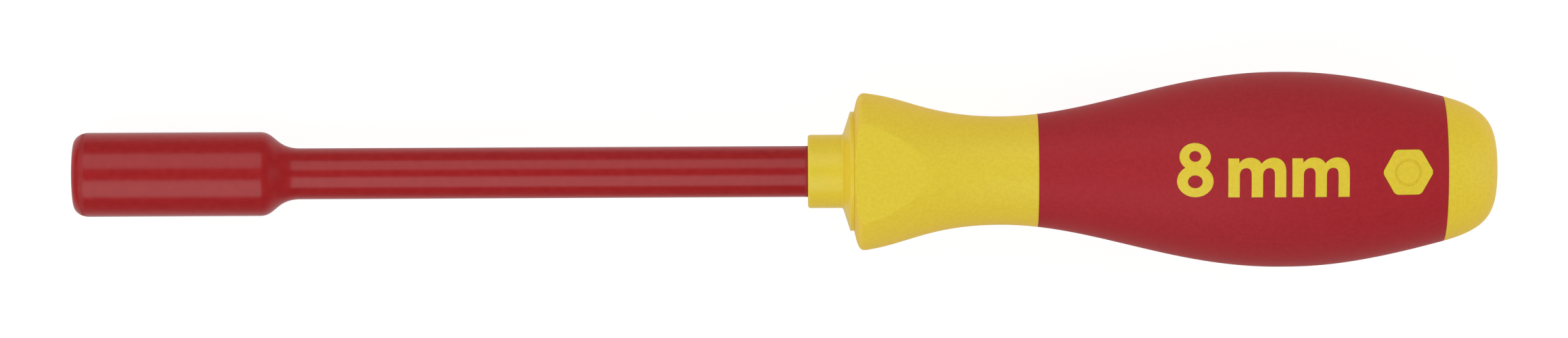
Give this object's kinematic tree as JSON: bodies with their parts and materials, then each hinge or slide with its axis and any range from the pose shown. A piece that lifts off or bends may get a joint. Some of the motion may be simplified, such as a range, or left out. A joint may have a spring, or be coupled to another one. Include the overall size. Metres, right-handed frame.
{
  "type": "nut driver",
  "caption": "Insulated nut driver: hexagon socket on a sleeved round blade, flared guard with anti-roll flats, soft grip and domed end cap.",
  "frame": {"origin": "centre of the socket's mouth, on the tool's axis", "axes": "+X along the tool's axis from the mouth to the butt; +Z out of the guard's flat that lies on the side of the hexagon mark"},
  "size_m": [0.2422, 0.0332, 0.0332],
  "materials": {
    "steel": "satin, matt chromed",
    "insulation": "semi-gloss moulded",
    "hard_plastic": "fine eroded satin",
    "soft_grip": "matt soft-touch"
  },
  "bodies": {
    "root": {"drive_socket": "steel", "shank": "steel", "blade_insulation": "insulation", "handle_core": "hard_plastic", "front_guard": "hard_plastic", "soft_grip": "soft_grip", "hex_mark": "hard_plastic", "end_cap": "hard_plastic"}
  },
  "joints": []
}
